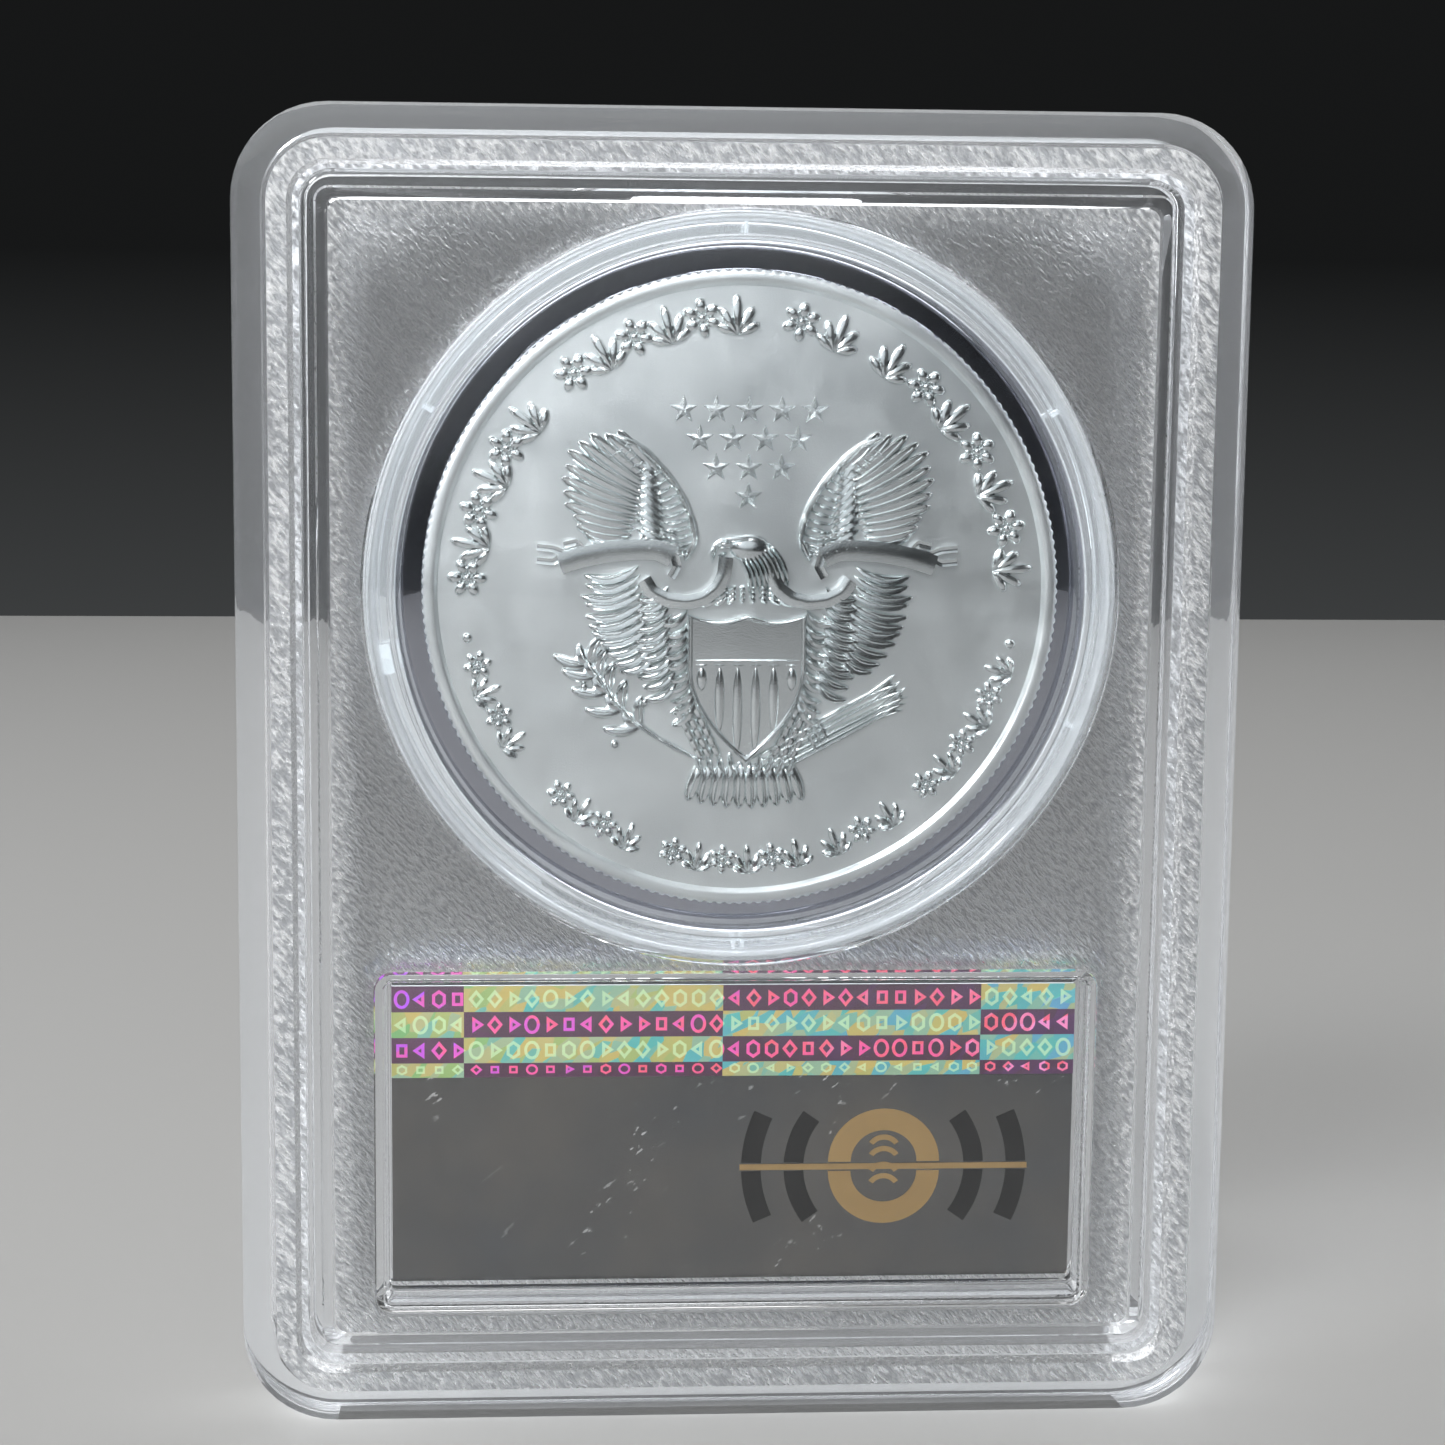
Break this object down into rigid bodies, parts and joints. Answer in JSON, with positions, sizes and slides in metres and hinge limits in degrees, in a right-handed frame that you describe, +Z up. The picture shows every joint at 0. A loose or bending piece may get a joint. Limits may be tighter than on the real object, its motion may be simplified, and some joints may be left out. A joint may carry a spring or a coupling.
{
  "type": "graded coin slab",
  "caption": "Clear welded coin holder standing on its short end, with a reeded coin in a clear ring above a foil-backed label with a rainbow strip.",
  "frame": {"origin": "centre of the case's bottom edge, in the plane of its welded seam and on the surface it stands on", "axes": "+Z up along the case's height, +X to the right as seen from the back, +Y towards the front of the case"},
  "size_m": [0.0636, 0.0078, 0.0841],
  "materials": {
    "clear_case": "clear moulded polystyrene, polished over the coin and the label, finely textured on the rest of the back panel and on the stacking ridge",
    "clear_ring": "clear moulded plastic, glossy",
    "coin_silver": "fine silver with a soft satin mint finish, brighter on the raised rim",
    "label_paper": "printed card, satin",
    "mirror_film": "grey metallised film with fine handling scratches",
    "rainbow_foil": "diffractive foil in rows of small marks, magenta and violet by turns with teal, green and gold"
  },
  "bodies": {
    "root": {"rear_shell": "clear_case", "front_shell": "clear_case", "coin_ring": "clear_ring", "coin": "coin_silver", "label_card": "label_paper", "label_film": "mirror_film", "hologram_strip": "rainbow_foil"}
  },
  "joints": []
}
